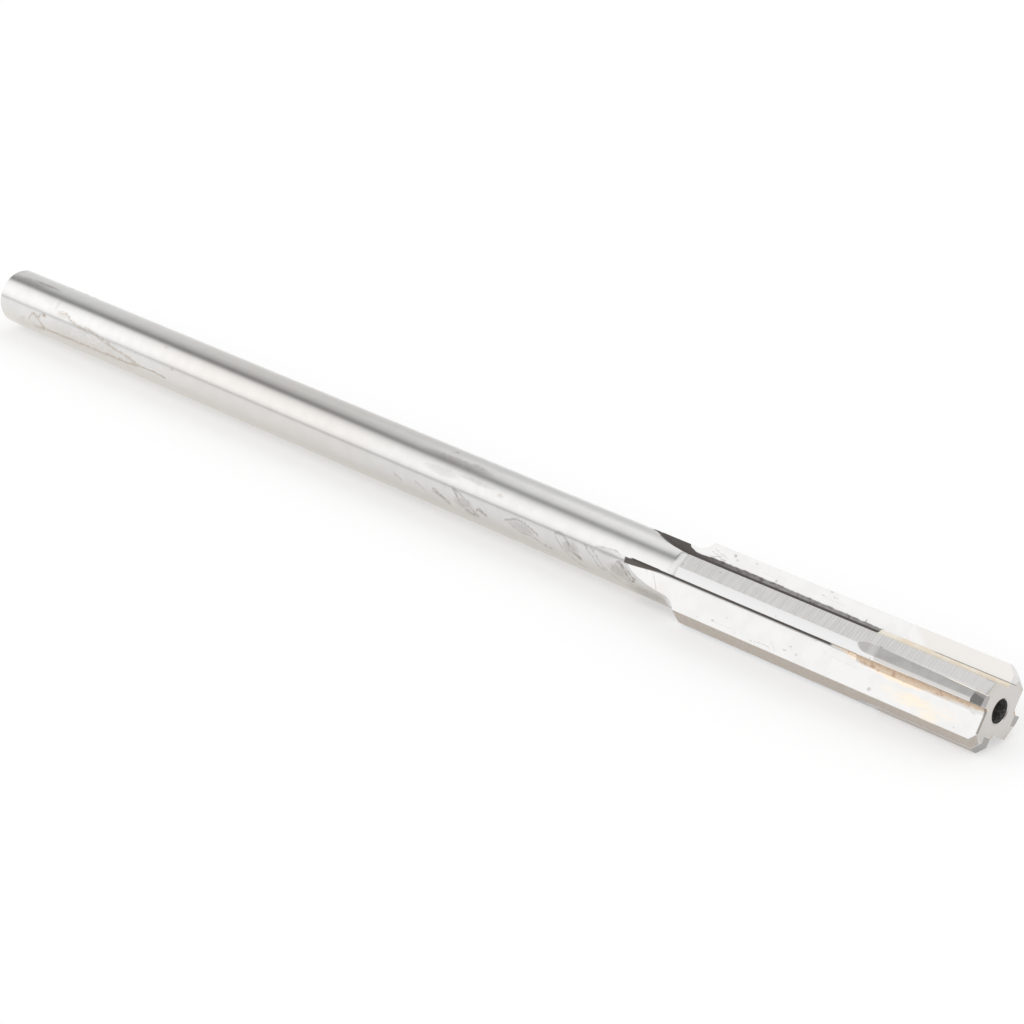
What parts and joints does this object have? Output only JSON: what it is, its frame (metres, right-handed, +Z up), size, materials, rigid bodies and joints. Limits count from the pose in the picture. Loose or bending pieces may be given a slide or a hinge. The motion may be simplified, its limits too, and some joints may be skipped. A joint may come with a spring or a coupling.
{
  "type": "machine reamer",
  "caption": "Straight-shank machine reamer with straight flutes, brazed carbide tips and a short 45 degree lead, lying at rest.",
  "frame": {"origin": "centre of the footprint, on the surface the tool lies on", "axes": "+X along the tool's axis towards the cutting end, +Z up from the surface, and +Y to the left when looking along +X. The axis is level, 4.465 mm above the surface."},
  "size_m": [0.1778, 0.009, 0.0089],
  "materials": {
    "ground_steel": "ground, bright, with light stains near the shank's end",
    "carbide": "diamond-ground tungsten carbide, satin grey",
    "braze_alloy": "silver braze, pale gold, as flowed"
  },
  "bodies": {
    "root": {"reamer_body": "ground_steel", "carbide_tip_1": "carbide", "carbide_tip_2": "carbide", "carbide_tip_3": "carbide", "carbide_tip_4": "carbide", "braze_1": "braze_alloy", "braze_2": "braze_alloy", "braze_3": "braze_alloy", "braze_4": "braze_alloy"}
  },
  "joints": []
}
